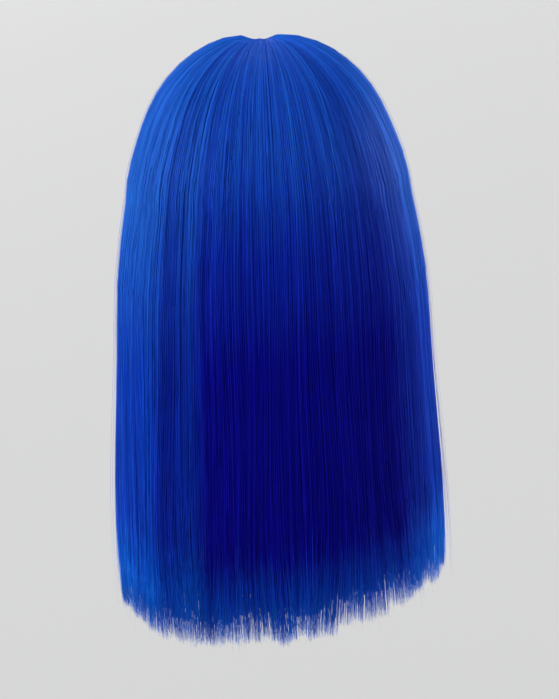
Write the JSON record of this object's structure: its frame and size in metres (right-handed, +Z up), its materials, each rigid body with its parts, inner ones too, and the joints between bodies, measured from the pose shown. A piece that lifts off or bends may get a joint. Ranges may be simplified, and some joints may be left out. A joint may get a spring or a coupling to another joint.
{
  "type": "costume wig",
  "caption": "Straight blue shoulder-length wig on an open-weft stretch cap, with a skin-coloured parting, combs, ear tabs and nape hooks.",
  "frame": {"origin": "centre of the wearer's head at the cap's widest ring, where the head holds the wig", "axes": "-Y the way the wearer faces, +X the wearer's left, +Z up"},
  "size_m": [0.2415, 0.2236, 0.396],
  "materials": {
    "hair": "glossy straight synthetic fibre, royal to ultramarine blue",
    "net": "open stretch net",
    "skin": "matte skin-coloured silk cloth",
    "lace": "fine skin-coloured lace",
    "band": "ribbed elastic ribbon",
    "weft": "sewn thread over fibre",
    "tape": "woven cotton tape",
    "elastic": "knitted elastic",
    "label": "blank satin label",
    "comb": "polished moulded nylon",
    "hook": "moulded nylon",
    "stay": "bare soft strip"
  },
  "bodies": {
    "cap": {"crown_net": "net", "parting_skin": "skin", "front_band": "lace", "side_band_left": "band", "side_band_right": "band", "nape_band": "band", "rib_back": "band", "rib_back_left": "band", "rib_back_right": "band", "rib_ear_left": "band", "rib_ear_right": "band", "rib_temple_left": "band", "rib_temple_right": "band", "weft_track_1": "weft", "weft_track_2": "weft", "weft_track_3": "weft", "weft_track_4": "weft", "weft_track_5": "weft", "weft_track_6": "weft", "weft_track_7": "weft", "comb_tape_left": "tape", "comb_tape_right": "tape", "comb_tape_back": "tape", "hook_ladder": "elastic", "ladder_loops": "elastic", "elastic_strap_left": "elastic", "elastic_strap_right": "elastic", "care_label": "label", "hair_crown_left": "hair", "hair_crown_right": "hair", "hair_net_layer": "hair", "hair_rows_left": "hair", "hair_rows_right": "hair", "hair_rows_back": "hair", "hair_temple_left": "hair", "hair_temple_right": "hair", "hair_nape": "hair"},
    "comb_left": {"comb_left": "comb"},
    "comb_right": {"comb_right": "comb"},
    "comb_back": {"comb_back": "comb"},
    "ear_tab_left": {"ear_tab_left": "band", "ear_stay_left": "stay"},
    "ear_tab_right": {"ear_tab_right": "band", "ear_stay_right": "stay"},
    "strap_hook_left": {"strap_hook_left": "hook"},
    "strap_hook_right": {"strap_hook_right": "hook"},
    "hair_fall_left": {"hair_fall_left_outer": "hair", "hair_fall_left_inner": "hair"},
    "hair_fall_right": {"hair_fall_right_outer": "hair", "hair_fall_right_inner": "hair"},
    "hair_fall_back": {"hair_fall_back_outer": "hair", "hair_fall_back_inner": "hair"}
  },
  "joints": [
    {"name": "comb_left_flip", "type": "hinge", "parent": "cap", "child": "comb_left", "pos_m": [0.06256, -0.0323, 0.03581], "axis": [0.3112, 0.9503, 0], "range_deg": [0, 50]},
    {"name": "comb_right_flip", "type": "hinge", "parent": "cap", "child": "comb_right", "pos_m": [-0.06256, -0.0323, 0.03581], "axis": [0.3112, -0.9503, 0], "range_deg": [0, 50]},
    {"name": "comb_back_flip", "type": "hinge", "parent": "cap", "child": "comb_back", "pos_m": [0, 0.08603, -0.03182], "axis": [1, 0, 0], "range_deg": [0, 50]},
    {"name": "ear_tab_left_fold", "type": "hinge", "parent": "cap", "child": "ear_tab_left", "pos_m": [0.06936, -0.04516, -0.005], "axis": [-0.3958, -0.9183, 0], "range_deg": [-6, 14]},
    {"name": "ear_tab_right_fold", "type": "hinge", "parent": "cap", "child": "ear_tab_right", "pos_m": [-0.06936, -0.04516, -0.005], "axis": [-0.3958, 0.9183, 0], "range_deg": [-6, 14]},
    {"name": "strap_left_adjust", "type": "hinge", "parent": "cap", "child": "strap_hook_left", "pos_m": [0, 0.0287, -0.045], "axis": [0, 0, 1], "range_deg": [0, 24]},
    {"name": "strap_right_adjust", "type": "hinge", "parent": "cap", "child": "strap_hook_right", "pos_m": [0, 0.0287, -0.045], "axis": [0, 0, -1], "range_deg": [0, 24]},
    {"name": "hair_left_swing", "type": "hinge", "parent": "cap", "child": "hair_fall_left", "pos_m": [0.10233, 0, -0.052], "axis": [0, -1, 0], "range_deg": [0, 30]},
    {"name": "hair_right_swing", "type": "hinge", "parent": "cap", "child": "hair_fall_right", "pos_m": [-0.10233, 0, -0.052], "axis": [0, 1, 0], "range_deg": [0, 30]},
    {"name": "hair_back_swing", "type": "hinge", "parent": "cap", "child": "hair_fall_back", "pos_m": [0, 0.11356, -0.052], "axis": [1, 0, 0], "range_deg": [0, 30]}
  ]
}
